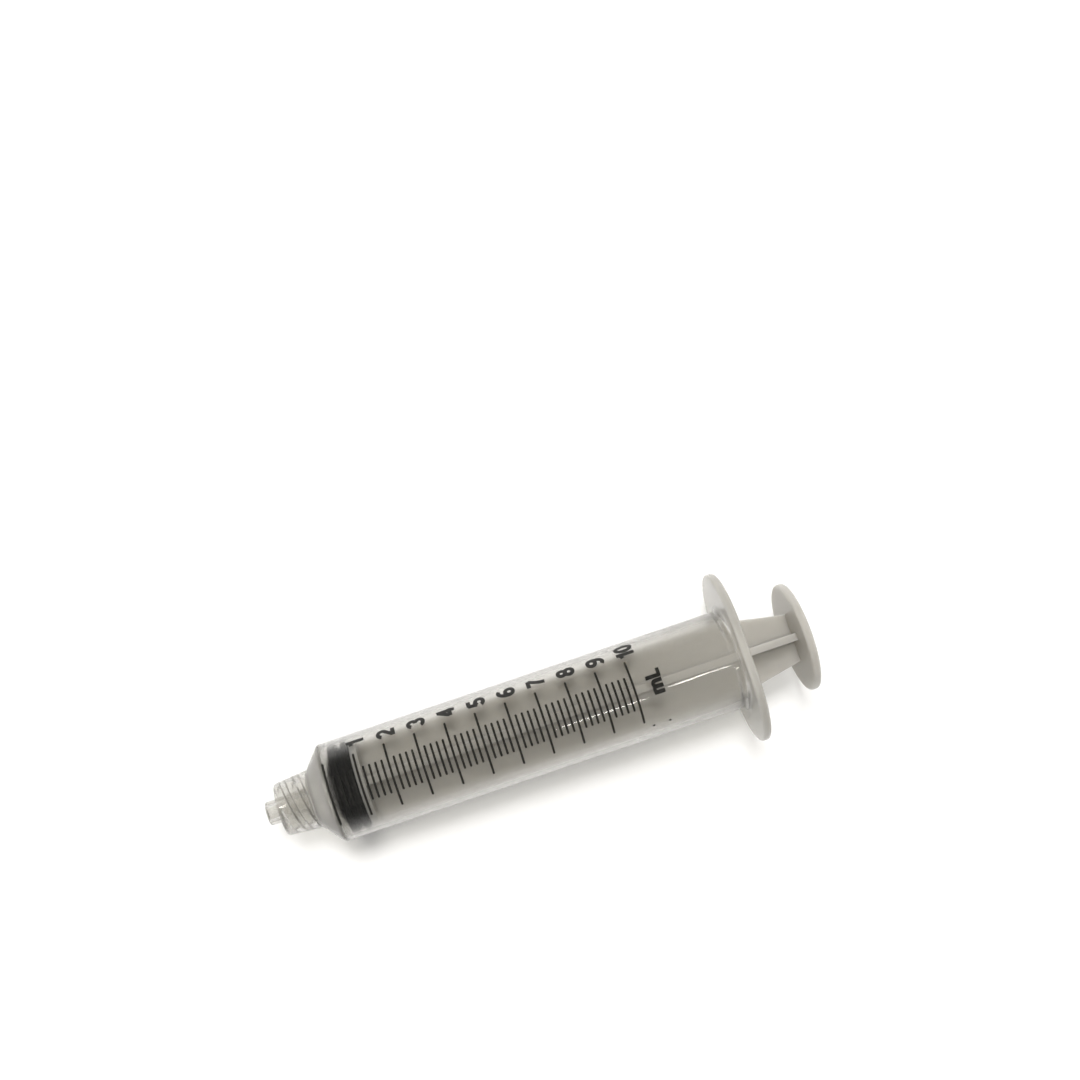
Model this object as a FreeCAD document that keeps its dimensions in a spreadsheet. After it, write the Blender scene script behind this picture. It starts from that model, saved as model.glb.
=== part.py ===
import FreeCAD, Part
import os
import re
import Sketcher

# A ten millilitre luer lock syringe in three pieces: a barrel moulded in one with its nozzle, lock collar
# and finger flange, a plunger rod moulded in one with its thumb disc, and a rubber stopper on the rod's head.
# Every piece is drawn along X, with the nozzle towards -X and the thumb disc towards +X, and is then laid
# down on the flange's edge and the barrel's shoulder, as the syringe comes to rest on a table.

SIZES = {
    # Nozzle: a male luer cone, its taper counted on the diameter
    "nozzle_tip_diameter": 4.0,
    "nozzle_taper": 0.06,
    "nozzle_projection": 2.35,
    "nozzle_bore_diameter": 2.1,
    "nozzle_edge_round": 0.3,
    # Lock collar around the nozzle, open to the front
    "collar_length": 5.95,
    "collar_front_wall": 0.5,
    "collar_rear_wall": 1.05,
    "collar_edge_round": 0.35,
    "lock_diameter": 8.0,
    "lock_floor_wall": 0.35,
    # Tube, from its sloping shoulder to its mouth
    "shoulder_length": 2.9,
    "shoulder_round": 0.7,
    "tube_length": 74.0,
    "front_wall": 0.75,
    "rear_wall": 0.98,
    "bore_diameter": 15.5,
    "bore_cone_depth": 2.9,
    "mouth_chamfer": 0.4,
    # Bead inside the mouth that keeps the stopper in
    "bead_height": 0.25,
    "bead_crest_width": 0.4,
    "bead_slope_length": 0.5,
    "bead_setback": 1.6,
    # Finger flange at the mouth: round ends and two flat sides, on which the syringe can lie
    "flange_end_overhang": 6.4,
    "flange_side_overhang": 1.7,
    "flange_thickness": 1.5,
    "flange_root_round": 1.0,
    "flange_edge_round": 0.5,
    # Stopper: two sealing rings, a waist between them and a cone in front
    "zero_setback": 0.7,
    "drawn_length": 1.06,
    "seat_clearance": 0.1,
    "ring_clearance": 0.05,
    "front_ring_width": 1.25,
    "rear_ring_width": 0.85,
    "ring_spacing": 1.0,
    "waist_depth": 0.7,
    "nose_step": 0.5,
    "nose_tip_diameter": 2.4,
    "tail_length": 0.35,
    "ring_round": 0.2,
    # Head of the rod, held in the stopper's seat
    "head_clearance": 0.08,
    "head_tip_diameter": 4.0,
    "head_diameter": 7.0,
    "head_cone_length": 0.8,
    "head_length": 1.4,
    "neck_diameter": 4.8,
    "neck_length": 1.3,
    # Rod: a disc behind the stopper, two crossed vanes and the thumb disc
    "backing_clearance": 0.1,
    "backing_side_clearance": 0.4,
    "backing_thickness": 1.2,
    "vane_length": 77.15,
    "vane_thickness": 1.3,
    "vane_side_clearance": 1.15,
    "vane_taper_length": 12.0,
    "vane_narrowing": 2.4,
    "vane_root_round": 0.5,
    "thumb_diameter": 19.2,
    "thumb_thickness": 1.45,
    "thumb_edge_round": 0.5,
    # Rings cut in the thumb disc's outer face for grip
    "grip_first_radius": 2.6,
    "grip_spacing": 2.2,
    "grip_width": 0.6,
    "grip_depth": 0.25,
}
GRIP_COUNT = 3

# Places along the barrel, counted from the nozzle's tip
COLLAR_REAR = "(nozzle_projection + collar_length)"
SHOULDER_EDGE = f"({COLLAR_REAR} + shoulder_length)"
MOUTH = f"({SHOULDER_EDGE} + tube_length)"
FLANGE_FRONT = f"({MOUTH} - flange_thickness)"
ZERO_LINE = f"({SHOULDER_EDGE} + zero_setback)"
BORE_FRONT = f"({ZERO_LINE} - seat_clearance)"
CONE_FRONT = f"({BORE_FRONT} - bore_cone_depth)"
LOCK_FLOOR = f"({CONE_FRONT} - lock_floor_wall)"
BEAD_REAR = f"({MOUTH} - bead_setback)"
CREST_REAR = f"({BEAD_REAR} - bead_slope_length)"
CREST_FRONT = f"({CREST_REAR} - bead_crest_width)"
BEAD_FRONT = f"({CREST_FRONT} - bead_slope_length)"

# Places along the plunger, counted from the edge of the stopper's front ring
WAIST_REAR = "(front_ring_width + ring_spacing)"
RINGS_REAR = f"({WAIST_REAR} + rear_ring_width)"
TAIL = f"({RINGS_REAR} + tail_length)"
BACKING_FRONT = f"({TAIL} + backing_clearance)"
BACKING_REAR = f"({BACKING_FRONT} + backing_thickness)"
HEAD_REAR = f"({BACKING_FRONT} - neck_length)"
HEAD_SHOULDER = f"({HEAD_REAR} - head_length)"
HEAD_TIP = f"({HEAD_SHOULDER} - head_cone_length)"
THUMB_FRONT = f"({BACKING_REAR} + vane_length)"
THUMB_FACE = f"({THUMB_FRONT} + thumb_thickness)"

# Radii and half widths that more than one feature uses
LOCK_RADIUS = "(lock_diameter / 2)"
COLLAR_FRONT_RADIUS = f"({LOCK_RADIUS} + collar_front_wall)"
COLLAR_REAR_RADIUS = f"({LOCK_RADIUS} + collar_rear_wall)"
TIP_RADIUS = "(nozzle_tip_diameter / 2)"
NOZZLE_ROOT_RADIUS = f"({TIP_RADIUS} + nozzle_taper / 2 * {LOCK_FLOOR})"
NOZZLE_BORE_RADIUS = "(nozzle_bore_diameter / 2)"
BORE_RADIUS = "(bore_diameter / 2)"
BEAD_RADIUS = f"({BORE_RADIUS} - bead_height)"
SHOULDER_RADIUS = f"({BORE_RADIUS} + front_wall)"
MOUTH_RADIUS = f"({BORE_RADIUS} + rear_wall)"
FLANGE_HALF_LENGTH = f"({MOUTH_RADIUS} + flange_end_overhang)"
FLANGE_HALF_WIDTH = f"({MOUTH_RADIUS} + flange_side_overhang)"
RING_RADIUS = f"({BORE_RADIUS} - ring_clearance)"
WAIST_RADIUS = f"({RING_RADIUS} - waist_depth)"
NOSE_RADIUS = f"({RING_RADIUS} - nose_step)"
NOSE_TIP_RADIUS = "(nose_tip_diameter / 2)"
HEAD_TIP_RADIUS = "(head_tip_diameter / 2)"
HEAD_RADIUS = "(head_diameter / 2)"
NECK_RADIUS = "(neck_diameter / 2)"
BACKING_RADIUS = f"({BEAD_RADIUS} - backing_side_clearance)"
VANE_HALF_WIDTH = f"({BORE_RADIUS} - vane_side_clearance)"
VANE_END_HALF_WIDTH = f"({VANE_HALF_WIDTH} - vane_narrowing)"
THUMB_RADIUS = "(thumb_diameter / 2)"

# The stopper's cone runs parallel to the cone in the front of the bore
CONE_SLOPE = f"(bore_cone_depth / ({BORE_RADIUS} - {NOZZLE_BORE_RADIUS}))"
NOSE_LENGTH = f"({CONE_SLOPE} * ({NOSE_RADIUS} - {NOSE_TIP_RADIUS}))"

NEAR = 1e-4

doc = FreeCAD.newDocument("luer_lock_syringe")
sheet = doc.addObject("Spreadsheet::Sheet", "Sizes")
for row, (alias, size) in enumerate(SIZES.items(), start=1):
    sheet.set(f"A{row}", alias)
    sheet.set(f"B{row}", str(size))
    sheet.setAlias(f"B{row}", alias)
doc.recompute()


def sized(formula):
    """Return a formula in plain size names as an expression that reads them from the sheet."""
    def cell(word):
        return "Sizes." + word.group() if word.group() in SIZES else word.group()
    return re.sub(r"[a-z_]+", cell, formula)


def value(formula):
    """Return what a formula comes to with the sheet as it stands."""
    return float(sheet.evalExpression(sized(formula)))


def new_sketch(body, name, role):
    """Start a sketch on one of a body's own origin planes."""
    sketch = body.newObject("Sketcher::SketchObject", name)
    plane = next(item for item in body.Origin.OriginFeatures if item.Role == role)
    sketch.AttachmentSupport = [(plane, "")]
    sketch.MapMode = "FlatFace"
    return sketch


def bind(sketch, kind, formula, *where):
    """Add a dimension to a sketch and bind it to the sheet."""
    index = sketch.addConstraint(Sketcher.Constraint(kind, *where, value(formula)))
    sketch.setExpression(f"Constraints[{index}]", sized(formula))


def outline(body, name, role, corners):
    """Draw a closed outline of straight edges, each corner given as two formulas."""
    sketch = new_sketch(body, name, role)
    spots = [FreeCAD.Vector(value(across), value(up)) for across, up in corners]
    for index, spot in enumerate(spots):
        sketch.addGeometry(Part.LineSegment(spots[index - 1], spot))
    for index in range(len(spots)):
        sketch.addConstraint(Sketcher.Constraint("Coincident", index, 2, (index + 1) % len(spots), 1))
    for index, corner in enumerate(corners):
        for kind, other_axis, formula in zip(("DistanceX", "DistanceY"), (-2, -1), corner):
            if formula == "0":
                sketch.addConstraint(Sketcher.Constraint("PointOnObject", index, 2, other_axis))
            else:
                bind(sketch, kind, formula, -1, 1, index, 2)
    return sketch


def turned(body, name, corners, kind="PartDesign::Revolution"):
    """Turn an outline about the X axis, to add it to a body or, as a groove, to cut it away."""
    sketch = outline(body, name + "_outline", "XZ_Plane", corners)
    feature = body.newObject(kind, name)
    feature.Profile = sketch
    feature.ReferenceAxis = (sketch, ["H_Axis"])
    feature.Angle = 360
    doc.recompute()


def cut_away(body, name, corners):
    """Cut an outline turned about the X axis out of a body, and make sure that it cuts."""
    before = body.Shape.Volume
    turned(body, name, corners, "PartDesign::Groove")
    if body.Shape.Volume > before - NEAR:
        raise RuntimeError(name + " cuts nothing")


def rounded(body, name, radius, picks):
    """Round the edges of a body that a test picks."""
    base = body.Tip
    edges = [f"Edge{number}" for number, edge in enumerate(base.Shape.Edges, start=1) if picks(edge)]
    if not edges:
        raise RuntimeError(name + " finds no edge")
    fillet = body.newObject("PartDesign::Fillet", name)
    fillet.Base = (base, edges)
    fillet.setExpression("Radius", sized(radius))
    doc.recompute()


def circle_at(along, radius):
    """Return a test for the round edge at a place on the axis with a radius, both given as formulas."""
    spot = value(along)
    reach = value(radius)

    def picks(edge):
        curve = edge.Curve
        if not isinstance(curve, Part.Circle):
            return False
        return abs(curve.Center.x - spot) < NEAR and abs(curve.Radius - reach) < NEAR
    return picks


def rim_at(along, radius):
    """Return a test for edges that lie across the axis at a place and reach further out than a radius."""
    spot = value(along)
    reach = value(radius)

    def picks(edge):
        across = all(abs(vertex.X - spot) < NEAR for vertex in edge.Vertexes)
        centre = FreeCAD.Vector(spot, 0, 0)
        return across and all(vertex.Point.distanceToPoint(centre) > reach for vertex in edge.Vertexes)
    return picks


def flat_sided(body, name, along):
    """Draw the flange's outline, two half circles joined by two flat sides, across the axis at a place."""
    sketch = new_sketch(body, name, "YZ_Plane")
    sketch.setExpression("AttachmentOffset.Base.z", sized(along))
    end_centre = f"({FLANGE_HALF_LENGTH} - {FLANGE_HALF_WIDTH})"
    reach = value(end_centre)
    half_width = value(FLANGE_HALF_WIDTH)
    normal = FreeCAD.Vector(0, 0, 1)
    quarter = FreeCAD.Vector(0, 1).getAngle(FreeCAD.Vector(1, 0))
    for side in (1, -1):
        centre = FreeCAD.Vector(side * reach, 0)
        facing = (1 - side) * quarter
        circle = Part.Circle(centre, normal, half_width)
        sketch.addGeometry(Part.ArcOfCircle(circle, facing - quarter, facing + quarter))
        start = FreeCAD.Vector(side * reach, side * half_width)
        sketch.addGeometry(Part.LineSegment(start, FreeCAD.Vector(-side * reach, side * half_width)))
    for index in range(4):
        sketch.addConstraint(Sketcher.Constraint("Tangent", index, 2, (index + 1) % 4, 1))
    sketch.addConstraint(Sketcher.Constraint("PointOnObject", 0, 3, -1))
    sketch.addConstraint(Sketcher.Constraint("Symmetric", 0, 3, 2, 3, -1, 1))
    bind(sketch, "DistanceX", end_centre, -1, 1, 0, 3)
    bind(sketch, "Radius", FLANGE_HALF_WIDTH, 0)
    return sketch


def build_barrel():
    """The barrel: tube, shoulder, nozzle, lock collar and finger flange in one moulding."""
    body = doc.addObject("PartDesign::Body", "barrel")
    turned(body, "tube", [
        ("0", "0"),
        ("0", TIP_RADIUS),
        (LOCK_FLOOR, NOZZLE_ROOT_RADIUS),
        (LOCK_FLOOR, LOCK_RADIUS),
        ("nozzle_projection", LOCK_RADIUS),
        ("nozzle_projection", COLLAR_FRONT_RADIUS),
        (COLLAR_REAR, COLLAR_REAR_RADIUS),
        (SHOULDER_EDGE, SHOULDER_RADIUS),
        (MOUTH, MOUTH_RADIUS),
        (MOUTH, "0"),
    ])
    rounded(body, "nozzle_edge", "nozzle_edge_round", circle_at("0", TIP_RADIUS))
    rounded(body, "collar_edge", "collar_edge_round", circle_at("nozzle_projection", COLLAR_FRONT_RADIUS))
    rounded(body, "shoulder", "shoulder_round", circle_at(SHOULDER_EDGE, SHOULDER_RADIUS))
    flange = body.newObject("PartDesign::Pad", "flange")
    flange.Profile = flat_sided(body, "flange_outline", FLANGE_FRONT)
    flange.setExpression("Length", sized("flange_thickness"))
    doc.recompute()
    draft = f"(({MOUTH_RADIUS} - {SHOULDER_RADIUS}) / tube_length)"
    root_radius = f"({MOUTH_RADIUS} - {draft} * flange_thickness)"
    root_round = "min(flange_root_round; 0.6 * flange_side_overhang)"
    edge_round = "min(flange_edge_round; 0.3 * flange_side_overhang)"
    inside_rim = f"{FLANGE_HALF_WIDTH} - {edge_round}"
    rounded(body, "flange_front_edge", edge_round, rim_at(FLANGE_FRONT, inside_rim))
    rounded(body, "flange_rear_edge", edge_round, rim_at(MOUTH, inside_rim))
    rounded(body, "flange_root", root_round, circle_at(FLANGE_FRONT, root_radius))
    cut_away(body, "bore", [
        ("0", "0"),
        ("0", NOZZLE_BORE_RADIUS),
        (CONE_FRONT, NOZZLE_BORE_RADIUS),
        (BORE_FRONT, BORE_RADIUS),
        (BEAD_FRONT, BORE_RADIUS),
        (CREST_FRONT, BEAD_RADIUS),
        (CREST_REAR, BEAD_RADIUS),
        (BEAD_REAR, BORE_RADIUS),
        (f"({MOUTH} - mouth_chamfer)", BORE_RADIUS),
        (MOUTH, f"({BORE_RADIUS} + mouth_chamfer)"),
        (MOUTH, "0"),
    ])
    return body


def build_stopper():
    """The stopper: two rings that seal on the bore, a cone in front and the seat for the rod's head."""
    body = doc.addObject("PartDesign::Body", "stopper")
    turned(body, "rubber", [
        (f"-{NOSE_LENGTH}", "0"),
        (f"-{NOSE_LENGTH}", NOSE_TIP_RADIUS),
        ("0", NOSE_RADIUS),
        ("0", RING_RADIUS),
        ("front_ring_width", RING_RADIUS),
        ("front_ring_width", WAIST_RADIUS),
        (WAIST_REAR, WAIST_RADIUS),
        (WAIST_REAR, RING_RADIUS),
        (RINGS_REAR, RING_RADIUS),
        (RINGS_REAR, WAIST_RADIUS),
        (TAIL, WAIST_RADIUS),
        (TAIL, "0"),
    ])
    for number, along in enumerate(("0", "front_ring_width", WAIST_REAR, RINGS_REAR), start=1):
        rounded(body, f"ring_edge_{number}", "ring_round", circle_at(along, RING_RADIUS))
    cut_away(body, "seat", [
        (f"({HEAD_TIP} - head_clearance)", "0"),
        (f"({HEAD_TIP} - head_clearance)", f"({HEAD_TIP_RADIUS} + head_clearance)"),
        (f"({HEAD_SHOULDER} - head_clearance)", f"({HEAD_RADIUS} + head_clearance)"),
        (f"({HEAD_REAR} + head_clearance)", f"({HEAD_RADIUS} + head_clearance)"),
        (f"({HEAD_REAR} + head_clearance)", f"({NECK_RADIUS} + head_clearance)"),
        (TAIL, f"({NECK_RADIUS} + head_clearance)"),
        (TAIL, "0"),
    ])
    return body


def add_vane(body, name, role):
    """Add one of the two crossed vanes, which narrow towards the thumb disc, on an origin plane."""
    taper_front = f"({THUMB_FRONT} - vane_taper_length)"
    vane = body.newObject("PartDesign::Pad", name)
    vane.Profile = outline(body, name + "_outline", role, [
        (BACKING_REAR, f"-{VANE_HALF_WIDTH}"),
        (taper_front, f"-{VANE_HALF_WIDTH}"),
        (THUMB_FRONT, f"-{VANE_END_HALF_WIDTH}"),
        (THUMB_FRONT, VANE_END_HALF_WIDTH),
        (taper_front, VANE_HALF_WIDTH),
        (BACKING_REAR, VANE_HALF_WIDTH),
    ])
    vane.Midplane = True
    vane.setExpression("Length", sized("vane_thickness"))
    doc.recompute()


def build_plunger_rod():
    """The plunger rod: head, backing disc, crossed vanes and thumb disc in one moulding."""
    body = doc.addObject("PartDesign::Body", "plunger_rod")
    add_vane(body, "flat_vane", "XY_Plane")
    add_vane(body, "upright_vane", "XZ_Plane")
    half_thickness = value("vane_thickness / 2")

    def inner_corner(edge):
        sides = [side for vertex in edge.Vertexes for side in (vertex.Y, vertex.Z)]
        return all(abs(abs(side) - half_thickness) < NEAR for side in sides)
    rounded(body, "vane_roots", "vane_root_round", inner_corner)
    turned(body, "head", [
        (HEAD_TIP, "0"),
        (HEAD_TIP, HEAD_TIP_RADIUS),
        (HEAD_SHOULDER, HEAD_RADIUS),
        (HEAD_REAR, HEAD_RADIUS),
        (HEAD_REAR, NECK_RADIUS),
        (BACKING_FRONT, NECK_RADIUS),
        (BACKING_FRONT, BACKING_RADIUS),
        (BACKING_REAR, BACKING_RADIUS),
        (BACKING_REAR, "0"),
    ])
    turned(body, "thumb_disc", [
        (THUMB_FRONT, "0"),
        (THUMB_FRONT, THUMB_RADIUS),
        (THUMB_FACE, THUMB_RADIUS),
        (THUMB_FACE, "0"),
    ])
    for number, along in enumerate((THUMB_FRONT, THUMB_FACE), start=1):
        rounded(body, f"thumb_edge_{number}", "thumb_edge_round", circle_at(along, THUMB_RADIUS))
    for ring in range(GRIP_COUNT):
        inner = f"(grip_first_radius + {ring} * grip_spacing)"
        cut_away(body, f"grip_ring_{ring + 1}", [
            (f"({THUMB_FACE} - grip_depth)", f"({inner} + grip_width / 2)"),
            (THUMB_FACE, inner),
            (THUMB_FACE, f"({inner} + grip_width)"),
        ])
    return body


def lay_down(body, along):
    """Lay a piece down, its own zero so far behind the nozzle's tip, with the middle over the origin."""
    slope = f"atan(({SHOULDER_RADIUS} - {COLLAR_REAR_RADIUS}) / shoulder_length)"
    shoulder_rest = f"({SHOULDER_EDGE} + shoulder_round * tan({slope} / 2))"
    flange_rest = f"({FLANGE_FRONT} + flange_edge_round)"
    lean = f"atan(({FLANGE_HALF_WIDTH} - {SHOULDER_RADIUS}) / ({flange_rest} - {shoulder_rest}))"
    low_corner = f"({THUMB_RADIUS} - thumb_edge_round - {TIP_RADIUS} + nozzle_edge_round)"
    rear_end = f"({ZERO_LINE} + drawn_length + {THUMB_FACE})"
    middle = f"(({rear_end} * cos({lean}) + {low_corner} * sin({lean})) / 2)"
    tip_height = f"({SHOULDER_RADIUS} * cos({lean}) - {shoulder_rest} * sin({lean}))"
    body.Placement.Rotation = FreeCAD.Rotation(FreeCAD.Vector(0, -1, 0), 1)
    body.setExpression("Placement.Rotation.Angle", sized(lean))
    body.setExpression("Placement.Base.x", sized(f"{along} * cos({lean}) - {middle}"))
    body.setExpression("Placement.Base.z", sized(f"{tip_height} + {along} * sin({lean})"))


barrel = build_barrel()
stopper = build_stopper()
plunger_rod = build_plunger_rod()
lay_down(barrel, "0")
for piece in (stopper, plunger_rod):
    lay_down(piece, f"({ZERO_LINE} + drawn_length)")
doc.recompute()

for item in doc.Objects:
    if "Invalid" in item.State or "Error" in item.State:
        raise RuntimeError(item.Name + " has failed")
os.makedirs("parts", exist_ok=True)
for piece in (barrel, stopper, plunger_rod):
    if piece.Shape.isNull() or not piece.Shape.isValid() or len(piece.Shape.Solids) != 1:
        raise RuntimeError(piece.Label + " has no sound solid")
    piece.Shape.exportStep(f"parts/{piece.Label}.step")
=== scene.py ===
import math
import bmesh
import bpy
from mathutils import Matrix, Vector


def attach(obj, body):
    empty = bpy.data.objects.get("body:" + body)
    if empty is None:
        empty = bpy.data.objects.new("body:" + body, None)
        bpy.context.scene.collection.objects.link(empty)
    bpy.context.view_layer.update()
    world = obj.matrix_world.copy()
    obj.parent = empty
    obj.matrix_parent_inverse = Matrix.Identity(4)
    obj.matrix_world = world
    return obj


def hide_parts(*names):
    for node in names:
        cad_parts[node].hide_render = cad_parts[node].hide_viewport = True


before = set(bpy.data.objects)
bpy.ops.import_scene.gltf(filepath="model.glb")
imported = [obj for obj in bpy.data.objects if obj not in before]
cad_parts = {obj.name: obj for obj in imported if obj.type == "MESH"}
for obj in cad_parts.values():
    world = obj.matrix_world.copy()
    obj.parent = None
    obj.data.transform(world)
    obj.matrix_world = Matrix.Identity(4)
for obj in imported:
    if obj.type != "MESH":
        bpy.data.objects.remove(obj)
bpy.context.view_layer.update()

# Barrel. One injection moulding in clear polypropylene: luer nozzle, lock collar with a two-start thread,
# sloping shoulder, long tube with a retaining bead, and a finger flange with two flat sides. Its wall is a
# little hazy, so that what touches it shows sharply and what lies further in goes soft.
MM = 0.001
LEAN = math.radians(1.52124)
LYING = Matrix.Translation((-0.0482363, 0, 0.00819102)) @ Matrix.Rotation(-LEAN, 4, "Y")
COLUMNS = 192
NOZZLE_HOLE = 1.05
LOCK_MOUTH = 2.35
LOCK_FLOOR = 8.55
LOCK_WALL = 4.0
LOCK_STEPS = 56
THREADED_LENGTH = 6.1
THREAD_LEAD = 5.0
THREAD_HEIGHT = 0.48
THREAD_HALF_FOOT = 0.26
THREAD_FLANK = 0.13
THREAD_FRONT = 2.55
THREAD_REAR = 8.3
THREAD_RUN_OUT = 0.5
TUBE_FRONT = 11.2
TUBE_RADIUS = 8.5
TUBE_DRAFT = 0.23
TUBE_LENGTH = 74
BORE = 7.75
BEAD = 7.5
ROOT_FRONT = 82.7
ROOT_RADIUS = 9.72
ROOT_TURNS = (0.0, 0.26, 0.52, 0.79, 1.05, 1.31)
FLANGE_FRONT = 83.7
FLANGE_HALF_WIDTH = 10.43
FLANGE_END_CENTRE = 4.7
FLANGE_EDGE = 0.5
FLANGE_EDGE_CENTRES = (84.2, 84.7)
EDGE_TURNS = (0.0, 0.4, 0.8, 1.2, 1.57)
MOUTH = 85.2
MOUTH_RADIUS = 8.15
SHARP_OVER = math.radians(40)
DARKENING = 155.0


def wall_radius(along):
    """The tube's outer radius, which its draft lets grow towards the mouth."""
    return TUBE_RADIUS + TUBE_DRAFT * (along - TUBE_FRONT) / TUBE_LENGTH


def corner(before, spot, after, radius, steps=5):
    """Round the corner of a path at a spot, with an arc that touches the straight runs on both sides."""
    spot = Vector(spot)
    back = (Vector(before) - spot).normalized()
    ahead = (Vector(after) - spot).normalized()
    half = back.angle(ahead) / 2
    centre = spot + (back + ahead).normalized() * radius / math.sin(half)
    first = spot + back * radius / math.tan(half) - centre
    last = spot + ahead * radius / math.tan(half) - centre
    return [tuple(centre + first.slerp(last, step / steps) * radius) for step in range(steps + 1)]


def path(stops):
    """Turn stops of place, radius and rounding into a path in which every rounded stop is an arc."""
    spots = []
    for index, (along, out, rounding) in enumerate(stops):
        if rounding:
            before, after = stops[index - 1][:2], stops[index + 1][:2]
            spots += corner(before, (along, out), after, rounding)
        else:
            spots.append((along, out))
    return spots


def flange_reach(angle, inset):
    """How far the flange's outline, drawn in by an inset, is from the axis in one direction."""
    across, up = abs(math.cos(angle)), abs(math.sin(angle))
    half_width = FLANGE_HALF_WIDTH - inset
    if up * FLANGE_END_CENTRE > across * half_width - 1e-9 or up > 0.9999:
        return half_width / up
    return FLANGE_END_CENTRE * across + math.sqrt(half_width ** 2 - (FLANGE_END_CENTRE * up) ** 2)


def thread_rise(along, angle):
    """How far the two-start thread stands in from the lock's wall."""
    def held(share):
        return min(1, max(0, share))

    turn = (2 * along / THREAD_LEAD - angle / math.pi) % 1
    flank = held((THREAD_HALF_FOOT - abs(turn - 0.5)) / THREAD_FLANK)
    ends = held((along - THREAD_FRONT) / THREAD_RUN_OUT) * held((THREAD_REAR - along) / THREAD_RUN_OUT)
    return THREAD_HEIGHT * ends * flank * flank * (3 - 2 * flank)


def barrel_rows():
    """The barrel's closed outline as rows of place and reach, each reach a function of the angle.

    It runs from the nozzle's hole over the outside to the mouth, and back along the bore. Each stop of a path
    is a place along the axis, a radius and a rounding.
    """
    def even(spots):
        return [(along, lambda angle, out=out: out) for along, out in spots]

    def lock_wall(along):
        return along, lambda angle: LOCK_WALL - thread_rise(along, angle)

    def flange(along, inset, share=1.0, root=ROOT_RADIUS):
        return along, lambda angle: (1 - share) * root + share * flange_reach(angle, inset)

    nozzle = [(0, NOZZLE_HOLE, 0), (0, 2.0, 0.3), (4.0, 2.12, 0), (LOCK_FLOOR, 2.2565, 0.25),
              (LOCK_FLOOR, LOCK_WALL, 0)]
    lock_and_shoulder = [(LOCK_MOUTH, LOCK_WALL, 0.08), (LOCK_MOUTH, 4.5, 0.35), (5.0, 4.745, 0),
                         (8.3, 5.05, 0.25), (TUBE_FRONT, TUBE_RADIUS, 0.7), (14, wall_radius(14), 0)]
    mouth_and_bead = [(MOUTH, MOUTH_RADIUS, 0), (84.8, BORE, 0.15), (83.6, BORE, 0.1), (83.1, BEAD, 0.1),
                      (82.7, BEAD, 0.1), (82.2, BORE, 0.1), (70, BORE, 0)]
    cone = [(14, BORE, 0), (11.8, BORE, 0.3), (8.9, NOZZLE_HOLE, 0.2), (5, NOZZLE_HOLE, 0), (2, NOZZLE_HOLE, 0)]

    rows = even(path(nozzle))
    rows += [lock_wall(LOCK_FLOOR - THREADED_LENGTH * step / LOCK_STEPS) for step in range(LOCK_STEPS + 1)]
    rows += even(path(lock_and_shoulder))
    rows += even([(along, wall_radius(along)) for along in range(20, 90, 10)])
    rows += even([(ROOT_FRONT + math.sin(turn), ROOT_RADIUS - math.cos(turn)) for turn in ROOT_TURNS])
    rows += [flange(FLANGE_FRONT, FLANGE_EDGE, share / 3) for share in range(4)]
    front, rear = FLANGE_EDGE_CENTRES
    for turn in EDGE_TURNS[1:]:
        rows.append(flange(front - FLANGE_EDGE * math.cos(turn), FLANGE_EDGE - FLANGE_EDGE * math.sin(turn)))
    for turn in EDGE_TURNS:
        rows.append(flange(rear + FLANGE_EDGE * math.sin(turn), FLANGE_EDGE - FLANGE_EDGE * math.cos(turn)))
    rows += [flange(MOUTH, FLANGE_EDGE, share / 3, MOUTH_RADIUS) for share in (2, 1, 0)]
    rows += even(path(mouth_and_bead)[1:])
    rows += even([(along, BORE) for along in range(60, 10, -10)])
    rows += even(path(cone))
    return rows


def build(name, bm, place=Matrix()):
    """Make an object of a mesh in its place, shaded smooth but for its sharp edges."""
    mesh = bpy.data.meshes.new(name)
    bm.to_mesh(mesh)
    bm.free()
    mesh.transform(place)
    mesh.polygons.foreach_set("use_smooth", [True] * len(mesh.polygons))
    mesh.set_sharp_from_angle(angle=SHARP_OVER)
    made = bpy.data.objects.new(name, mesh)
    bpy.context.scene.collection.objects.link(made)
    return made


def around(bm, rows):
    """Close rows of place and reach about the axis into one skin."""
    rings = []
    for along, reach in rows:
        ring = []
        for column in range(COLUMNS):
            angle = 2 * math.pi * column / COLUMNS
            out = reach(angle)
            spot = Vector((along, out * math.cos(angle), out * math.sin(angle)))
            ring.append(bm.verts.new(spot * MM))
        rings.append(ring)
    for near, far in zip(rings, rings[1:] + rings[:1]):
        for column in range(COLUMNS):
            after = (column + 1) % COLUMNS
            bm.faces.new((near[column], near[after], far[after], far[column]))
    bmesh.ops.recalc_face_normals(bm, faces=bm.faces)


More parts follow.
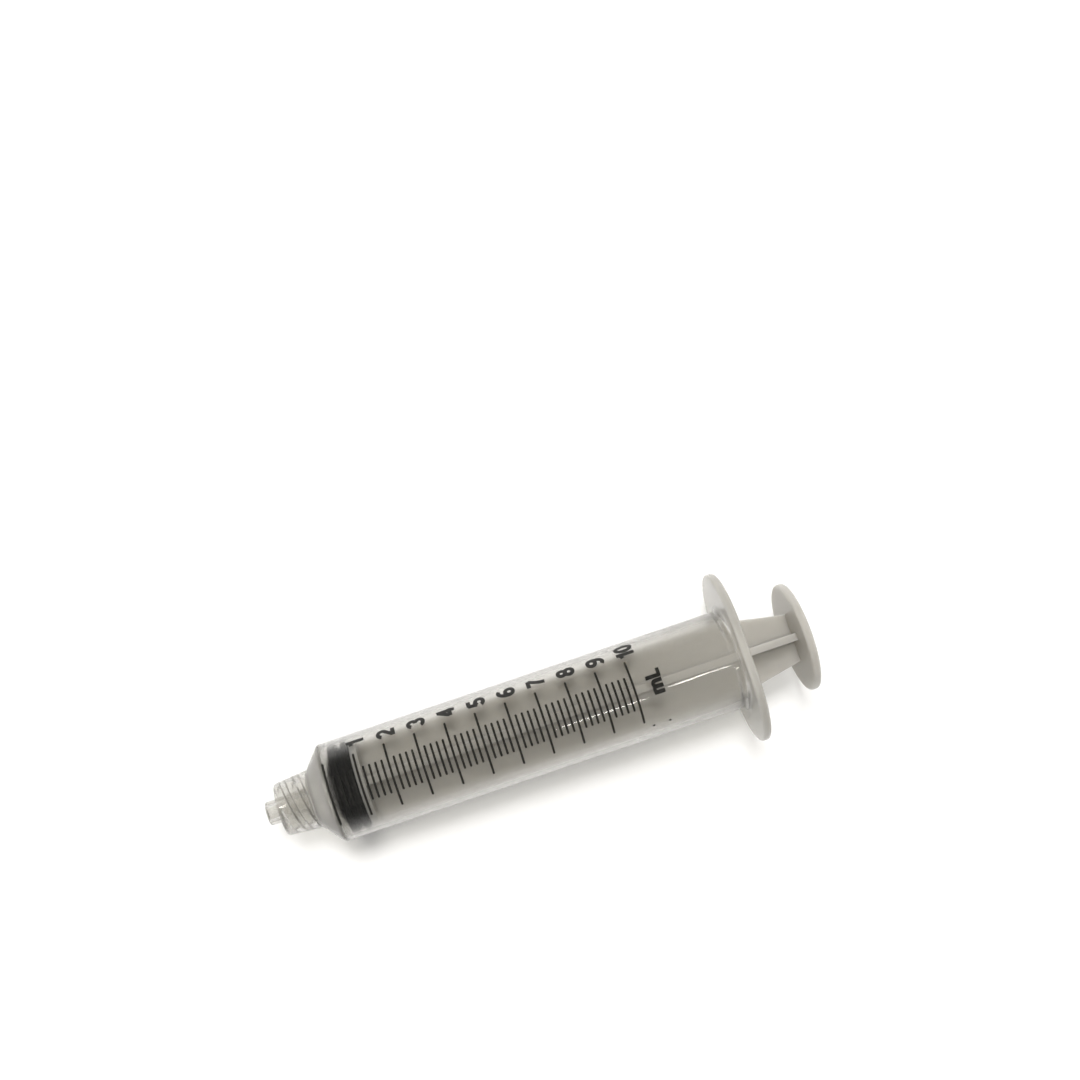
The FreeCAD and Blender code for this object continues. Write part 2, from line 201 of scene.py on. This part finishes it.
class Wire:
    """One socket of a material, on which Python's own operators add Math and Vector Math nodes."""

    def __init__(self, tree, socket=None):
        self.tree = tree
        self.socket = socket

    def node(self, kind, settings, sockets, output=0):
        """Add a node, set its settings, then its sockets' values or links, and return one output."""
        node = self.tree.nodes.new(kind)
        for name, setting in settings.items():
            setattr(node, name, setting)
        for name, given in sockets.items():
            if isinstance(given, Wire):
                self.tree.links.new(given.socket, node.inputs[name])
            else:
                node.inputs[name].default_value = given
        return Wire(self.tree, node.outputs[output] if node.outputs else None)

    def sum(self, operation, one, other):
        """Add a Math node for numbers, or a Vector Math node where a vector takes part."""
        vector = any(isinstance(side, tuple) or isinstance(side, Wire) and side.socket.type != "VALUE"
                     for side in (one, other))
        kind = "ShaderNodeVectorMath" if vector else "ShaderNodeMath"
        return self.node(kind, {"operation": operation}, {0: one, 1: other})

    def __add__(self, other):
        return self.sum("ADD", self, other)

    def __radd__(self, other):
        return self.sum("ADD", other, self)

    def __sub__(self, other):
        return self.sum("SUBTRACT", self, other)

    def __rsub__(self, other):
        return self.sum("SUBTRACT", other, self)

    def __mul__(self, other):
        return self.sum("MULTIPLY", self, other)

    def __rmul__(self, other):
        return self.sum("MULTIPLY", other, self)

    def between(self, low, high):
        """Mix two colours by this value."""
        return self.node("ShaderNodeMix", {"data_type": "RGBA"}, {0: self, 6: low, 7: high}, 2)

    def noise(self, place, scale, detail=2.0, roughness=0.5):
        """A noise value over a place."""
        return self.node("ShaderNodeTexNoise", {},
                         {"Vector": place, "Scale": scale, "Detail": detail, "Roughness": roughness})

    def ramp(self, value, low, high):
        """Stretch a value so that low becomes 0 and high becomes 1, and hold it between them."""
        return self.node("ShaderNodeMapRange", {}, {"Value": value, "From Min": low, "From Max": high})


def material(name):
    """Start an empty material."""
    made = bpy.data.materials.new(name)
    made.use_nodes = True
    made.node_tree.nodes.clear()
    return made, Wire(made.node_tree)


def surface(wire, shader, through=None, depth=None):
    """Finish a material. A lamp's light that passes it takes on a colour, and depth darkens its body."""
    if through:
        lamp_ray = wire.node("ShaderNodeLightPath", {}, {}, "Is Shadow Ray")
        window = wire.node("ShaderNodeBsdfTransparent", {}, {"Color": through})
        shader = wire.node("ShaderNodeMixShader", {}, {0: lamp_ray, 1: shader, 2: window})
    ends = {"Surface": shader}
    if depth:
        ends["Volume"] = wire.node("ShaderNodeVolumeAbsorption", {}, {"Color": depth, "Density": DARKENING})
    wire.node("ShaderNodeOutputMaterial", {}, ends)


def place_on_barrel(wire):
    """The place on the barrel in its own measure, with X along its axis from the nozzle's tip."""
    spot = wire.node("ShaderNodeTexCoord", {}, {}, "Object")
    return wire.node("ShaderNodeMapping", {"vector_type": "TEXTURE"},
                     {"Vector": spot, "Location": LYING.translation, "Rotation": LYING.to_euler()})


def clear_plastic():
    """Clear polypropylene: glossy outside, hazy inside, and milky where it is thick, as in the flange."""
    made, wire = material("clear_polypropylene")
    place = place_on_barrel(wire)
    along = wire.node("ShaderNodeSeparateXYZ", {}, {"Vector": place}, "X")
    out = wire.node("ShaderNodeVectorMath", {"operation": "LENGTH"}, {0: place * (0.0, 1.0, 1.0)}, "Value")
    # The haze is on the bore and on the cone in front of it, and the milk is where the plastic is thick.
    inside = wire.ramp(out, 0.0082, 0.0080) * wire.ramp(along * 1.19 - out, 0.0053, 0.0058)
    cloud = wire.noise(place, 140.0, 3.0)
    bump = wire.node("ShaderNodeBump", {}, {"Strength": 0.04, "Distance": 0.00003, "Height": cloud})
    clear = wire.node("ShaderNodeBsdfPrincipled", {}, {
        "Base Color": cloud.between((0.96, 0.955, 0.942, 1), (0.98, 0.975, 0.962, 1)),
        "Roughness": inside * 0.2 + cloud * 0.04 + 0.03,
        "IOR": 1.49,
        "Transmission Weight": 1.0,
        "Normal": bump,
    })
    milky = wire.node("ShaderNodeBsdfPrincipled", {}, {
        "Base Color": cloud.between((0.465, 0.455, 0.425, 1), (0.495, 0.485, 0.455, 1)),
        "Roughness": 0.2,
        "IOR": 1.49,
        "Subsurface Weight": 1.0,
        "Subsurface Scale": 0.003,
        "Subsurface Radius": (1.0, 0.97, 0.9),
        "Normal": bump,
    })
    flange = wire.ramp(out, 0.0088, 0.0098) * 0.5
    rear = wire.ramp(along, 0.062, 0.084) * 0.18
    front = wire.ramp(along, 0.0118, 0.0080) * 0.13
    shoulder = wire.ramp(along, 0.0128, 0.0112) * wire.ramp(along, 0.0078, 0.0090) * 0.28
    milk = flange + rear + front + shoulder
    hazy = wire.node("ShaderNodeMixShader", {}, {0: milk, 1: clear, 2: milky})
    surface(wire, hazy, (0.92, 0.92, 0.915, 1), (0.40, 0.385, 0.33, 1))
    return made


barrel_mesh = bmesh.new()
around(barrel_mesh, barrel_rows())
barrel = build("clear_barrel", barrel_mesh, LYING)
barrel.data.materials.append(clear_plastic())
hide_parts("barrel")
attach(barrel, "barrel")

# Printed scale. Black ink laid on the outside of the tube by a rolling screen: eleven long marks, four
# short ones between each pair, the numbers beyond the marks' upper ends, and two dots by which the screen is
# lined up. The print stands proud by the ink's thickness.
ZERO = 11.9
PER_MILLILITRE = 5.3
TEN = ZERO + PER_MILLILITRE * 10
LINE_WIDTH = 0.38
LONG_HALF_TURN = math.radians(37)
SHORT_HALF_TURN = math.radians(18.6)
MARKS_MIDDLE = math.radians(-2)
NUMBER_TURN = math.radians(50.5)
TEN_TURN = math.radians(52.5)
NUMBER_AFTER_MARK = 0.7
NUMBER_HEIGHT = 3.1
UNIT_TURN = math.radians(4)
UNIT_AFTER_TEN = 3.6
UNIT_HEIGHT = 2.6
DOT_RADIUS = 0.23
DOT_TURN = math.radians(-48)
DOTS_AFTER_TEN = (1.5, 4.4)
STROKE_HALF_WIDTH = 0.115
USUAL_ADVANCE = 0.66
LETTER_GAP = 0.08
LETTER_WIDENING = 1.15
INK_PROUD = 0.02
INK_SUNK = 0.01


def on_wall(along, turn, lift):
    """The place on the tube's outside at a turn from its top, towards the flange's far end."""
    out = wall_radius(along) + lift
    return Vector((along, out * math.sin(turn), out * math.cos(turn))) * MM


def mark(flat, along, half_turn):
    """One line of the scale, drawn across the tube with round ends."""
    half = LINE_WIDTH / 2
    out = wall_radius(along)
    steps = max(6, round(math.degrees(half_turn)))
    turns = [(half_turn * (2 * step / steps - 1), half) for step in range(steps + 1)]
    for angle in (25, 50, 75):
        reach = half_turn + half * math.sin(math.radians(angle)) / out
        width = half * math.cos(math.radians(angle))
        turns = [(-reach, width)] + turns + [(reach, width)]
    pairs = []
    for turn, width in turns:
        pairs.append([flat.verts.new((along + side * width, MARKS_MIDDLE + turn, 0)) for side in (1, -1)])
    for (left, right), (next_left, next_right) in zip(pairs, pairs[1:]):
        flat.faces.new((left, next_left, next_right, right))


def bend(across, up, width, height, start, end):
    """Points along part of an oval, between two directions in degrees."""
    steps = max(3, round(abs(end - start) / 12))
    turns = [math.radians(start + (end - start) * step / steps) for step in range(steps + 1)]
    return [(across + width * math.cos(turn), up + height * math.sin(turn)) for turn in turns]


SIX = [bend(0.345, 0.47, 0.26, 0.445, 58, 180) + [(0.085, 0.30)], bend(0.29, 0.30, 0.205, 0.215, 0, 360)]
STROKES = {
    "0": [bend(0.29, 0.5, 0.205, 0.415, 0, 360)],
    "1": [[(0.36, 1.0), (0.36, 0.0)], [(0.36, 0.84), (0.26, 0.75), (0.12, 0.72)]],
    "2": [bend(0.29, 0.69, 0.205, 0.225, 170, -35) + [(0.10, 0.12)], [(0.03, 0.085), (0.53, 0.085)]],
    "3": [bend(0.28, 0.71, 0.19, 0.205, 165, -90), bend(0.28, 0.295, 0.21, 0.21, 90, -165)],
    "4": [[(0.41, 1.0), (0.41, 0.0)], [(0.40, 0.94), (0.07, 0.31)], [(0.02, 0.28), (0.56, 0.28)]],
    "5": [[(0.51, 0.915), (0.12, 0.915)], [(0.155, 0.96), (0.11, 0.45)],
          bend(0.285, 0.305, 0.21, 0.22, 145, -160)],
    "6": SIX,
    "7": [[(0.04, 0.915), (0.53, 0.915)], [(0.50, 0.90), (0.33, 0.58), (0.23, 0.27), (0.20, 0.0)]],
    "8": [bend(0.29, 0.715, 0.18, 0.2, 0, 360), bend(0.29, 0.295, 0.205, 0.21, 0, 360)],
    "9": [[(0.58 - across, 1 - up) for across, up in stroke] for stroke in SIX],
    "m": [[(0.085, 0.72), (0.085, 0.0)], bend(0.25, 0.45, 0.165, 0.19, 180, 0) + [(0.415, 0.0)],
          bend(0.58, 0.45, 0.165, 0.19, 180, 0) + [(0.745, 0.0)]],
    "L": [[(0.085, 1.0), (0.085, 0.0)], [(0.02, 0.085), (0.50, 0.085)]],
}
ADVANCE = {"1": 0.52, "m": 0.92}


def pen_line(flat, points, half, place):
    """One stroke of a character: a band that keeps its width round the bends, in short steps."""
    spots = [Vector(points[0])]
    for target in map(Vector, points[1:]):
        steps = max(1, math.ceil((target - spots[-1]).length / 0.1))
        origin = spots[-1]
        spots += [origin.lerp(target, step / steps) for step in range(1, steps + 1)]
    closed = (spots[0] - spots[-1]).length < 1e-6
    last = len(spots) - 1
    pairs = []
    for index, spot in enumerate(spots):
        if closed:
            ahead, behind = spots[(index + 1) % last], spots[(index - 1) % last]
        else:
            ahead, behind = spots[min(index + 1, last)], spots[max(index - 1, 0)]
        along = (ahead - behind).normalized()
        side = Vector((-along.y, along.x)) * half
        pairs.append([flat.verts.new(place(spot + side)), flat.verts.new(place(spot - side))])
    for (left, right), (next_left, next_right) in zip(pairs, pairs[1:]):
        flat.faces.new((left, right, next_right, next_left))


def lettering(flat, words, along, turn, height):
    """Plain upright characters laid round the tube, their tops towards the nozzle."""
    def place(spot):
        reach = LETTER_WIDENING * (start + spot.x) * height / wall_radius(along)
        return along + (0.5 - spot.y) * height, turn + reach, 0

    start = -(sum(ADVANCE.get(letter, USUAL_ADVANCE) for letter in words) - LETTER_GAP) / 2
    for letter in words:
        for stroke in STROKES[letter]:
            pen_line(flat, stroke, STROKE_HALF_WIDTH, place)
        start += ADVANCE.get(letter, USUAL_ADVANCE)


def wrapped(flat):
    """Lay the flat print round the tube as a closed film of ink."""
    film = bmesh.new()
    pairs = {vert: [film.verts.new(on_wall(vert.co.x, vert.co.y, lift)) for lift in (INK_PROUD, -INK_SUNK)]
             for vert in flat.verts}
    for face in flat.faces:
        film.faces.new([pairs[vert][0] for vert in face.verts])
        film.faces.new([pairs[vert][1] for vert in reversed(face.verts)])
    for edge in flat.edges:
        if edge.is_boundary:
            one, other = edge.verts
            film.faces.new((pairs[one][0], pairs[other][0], pairs[other][1], pairs[one][1]))
    bmesh.ops.recalc_face_normals(film, faces=film.faces)
    flat.free()
    return film


def ink():
    """Black screen ink: satin, thin in places, with fine pinholes."""
    made, wire = material("black_ink")
    place = place_on_barrel(wire)
    thin = wire.ramp(wire.noise(place, 2600.0, 3.0, 0.6), 0.35, 0.75)
    bump = wire.node("ShaderNodeBump", {}, {"Strength": 0.2, "Distance": 0.00002, "Height": thin})
    surface(wire, wire.node("ShaderNodeBsdfPrincipled", {}, {
        "Base Color": thin.between((0.008, 0.008, 0.007, 1), (0.03, 0.029, 0.027, 1)),
        "Roughness": thin * 0.2 + 0.35,
        "Specular IOR Level": 0.2,
        "Normal": bump,
    }))
    return made


print_mesh = bmesh.new()
for step in range(51):
    mark(print_mesh, ZERO + PER_MILLILITRE * step / 5, SHORT_HALF_TURN if step % 5 else LONG_HALF_TURN)
for number in range(1, 11):
    lettering(print_mesh, str(number), ZERO + PER_MILLILITRE * number + NUMBER_AFTER_MARK,
              NUMBER_TURN if number < 10 else TEN_TURN, NUMBER_HEIGHT)
lettering(print_mesh, "mL", TEN + UNIT_AFTER_TEN, UNIT_TURN, UNIT_HEIGHT)
for along in DOTS_AFTER_TEN:
    rim = []
    for angle in range(0, 360, 30):
        across = DOT_RADIUS * math.cos(math.radians(angle))
        up = DOT_RADIUS * math.sin(math.radians(angle))
        rim.append(print_mesh.verts.new((TEN + along + across, DOT_TURN + up / wall_radius(65), 0)))
    print_mesh.faces.new(rim)
scale_print = build("scale_print", wrapped(print_mesh), LYING)
scale_print.data.materials.append(ink())
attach(scale_print, "barrel")

# Stopper. Black rubber, moulded in one: two sealing rings with a waist between them and a blunt cone in front.
# It is wetted with a thin film of oil.


def rubber():
    """Black rubber with a fine moulded grain and a little bloom."""
    made, wire = material("black_rubber")
    place = wire.node("ShaderNodeTexCoord", {}, {}, "Object")
    grain = wire.noise(place, 3500.0, 4.0, 0.65)
    bloom = wire.ramp(wire.noise(place, 300.0, 4.0, 0.6), 0.45, 0.8)
    bump = wire.node("ShaderNodeBump", {}, {"Strength": 0.35, "Distance": 0.00004, "Height": grain})
    surface(wire, wire.node("ShaderNodeBsdfPrincipled", {}, {
        "Base Color": bloom.between((0.005, 0.005, 0.0045, 1), (0.012, 0.0115, 0.010, 1)),
        "Roughness": grain * 0.2 + 0.45,
        "Specular IOR Level": 0.08,
        "Normal": bump,
    }))
    return made


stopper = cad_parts["stopper"]
stopper.data.materials.clear()
stopper.data.materials.append(rubber())

# Plunger rod. Milky polypropylene, moulded in one with its thumb disc: a head that snaps into the stopper, a
# round backing disc and two crossed vanes. The steel of the mould has left fine lines along the vanes.


def milky_plastic():
    """Milky polypropylene: light goes a little way in, and the surface is satin with fine draw lines."""
    made, wire = material("milky_polypropylene")
    place = wire.node("ShaderNodeTexCoord", {}, {}, "Object")
    cloud = wire.noise(place, 120.0, 3.0)
    lines = wire.noise(place * (60.0, 1000.0, 1000.0), 1.0, 1.0)
    bump = wire.node("ShaderNodeBump", {}, {"Strength": 0.05, "Distance": 0.00006, "Height": lines})
    surface(wire, wire.node("ShaderNodeBsdfPrincipled", {}, {
        "Base Color": cloud.between((0.362, 0.352, 0.330, 1), (0.380, 0.370, 0.347, 1)),
        "Roughness": cloud * 0.08 + 0.285,
        "IOR": 1.49,
        "Subsurface Weight": 1.0,
        "Subsurface Scale": 0.004,
        "Subsurface Radius": (1.0, 0.96, 0.88),
        "Normal": bump,
    }), (0.70, 0.70, 0.69, 1))
    return made


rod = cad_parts["plunger_rod"]
rod.data.materials.clear()
rod.data.materials.append(milky_plastic())

# Table. A plain near-white sheet, wide enough to fill the view from every side.


def table():
    """Plain white board with the faintest tooth."""
    made, wire = material("white_board")
    place = wire.node("ShaderNodeTexCoord", {}, {}, "Object")
    tooth = wire.noise(place, 900.0, 4.0)
    bump = wire.node("ShaderNodeBump", {}, {"Strength": 0.05, "Distance": 0.0001, "Height": tooth})
    surface(wire, wire.node("ShaderNodeBsdfPrincipled", {}, {
        "Base Color": tooth.between((0.90, 0.90, 0.90, 1), (0.93, 0.93, 0.93, 1)),
        "Roughness": 0.8,
        "Normal": bump,
    }))
    return made


table_mesh = bmesh.new()
bmesh.ops.create_grid(table_mesh, x_segments=8, y_segments=8, size=3.0)
floor = build("table", table_mesh)
floor.data.materials.append(table())

# Light: a wide soft source from the far side, so that the shadow falls softly to the near side, a pale room,
# and three small lamps that draw the short bright lines on the tube and the glints on the collar and flange.
# The wide one makes no highlight of its own.
WARM = (1.0, 0.97, 0.92)


def lamp(name, place, size, power, colour, length=None):
    """A flat lamp at a place that faces the syringe."""
    light = bpy.data.lights.new(name, "AREA")
    light.shape = "RECTANGLE"
    light.size = size
    light.size_y = length or size
    light.energy = power
    light.color = colour
    holder = bpy.data.objects.new(name, light)
    holder.location = place
    holder.rotation_euler = Vector(place).to_track_quat("Z", "Y").to_euler()
    bpy.context.scene.collection.objects.link(holder)
    return holder


window = lamp("window", (0.0, 0.85, 2.0), 0.72, 48.0, (1.0, 0.985, 0.965))
window.visible_glossy = False
window.visible_transmission = False
lamp("near_strip", (0.040, -0.250, 0.560), 0.05, 0.10, WARM, 0.02)
lamp("far_strip", (0.100, -0.150, 0.600), 0.04, 0.08, WARM, 0.02)
lamp("glint", (-0.30, 0.10, 0.50), 0.05, 0.2, WARM)
world = bpy.data.worlds.new("room")
world.use_nodes = True
bpy.context.scene.world = world
sky = Wire(world.node_tree)
facing = sky.node("ShaderNodeTexCoord", {}, {}, "Generated")
height = sky.node("ShaderNodeSeparateXYZ", {}, {"Vector": facing}, "Z")
endwise = sky.node("ShaderNodeSeparateXYZ", {}, {"Vector": facing}, "X")
# The room's walls are bright near the horizon and at both ends of the syringe, and its ceiling is dark.
walls = sky.ramp(height, 0.32, 0.10)
ends = sky.ramp(sky.node("ShaderNodeMath", {"operation": "ABSOLUTE"}, {0: endwise}), 0.30, 0.62)
bright = sky.node("ShaderNodeMath", {"operation": "MAXIMUM"}, {0: walls, 1: ends})
glow = bright.between((0.13, 0.13, 0.13, 1), (0.72, 0.715, 0.70, 1))
world.node_tree.links.new(glow.socket, world.node_tree.nodes["Background"].inputs["Color"])
bpy.context.scene.view_settings.view_transform = "Standard"

# Camera: above the syringe, looking down and a little along it, as in the photograph.
CAMERA = Vector((-0.014789, 0.001100, 0.251695))
AIM = Vector((0.01028, 0.03005, 0.0100))
PICTURE_UP = Vector((0.3055, 0.9412, 0.1445))
back = (CAMERA - AIM).normalized()
right = PICTURE_UP.cross(back).normalized()
up = back.cross(right)
lens = bpy.data.cameras.new("camera")
lens.sensor_width = 36
lens.lens = 46.67
lens.clip_start = 0.01
camera = bpy.data.objects.new("camera", lens)
camera.matrix_world = Matrix.Translation(CAMERA) @ Matrix((right, up, back)).transposed().to_4x4()
bpy.context.scene.collection.objects.link(camera)
bpy.context.scene.camera = camera
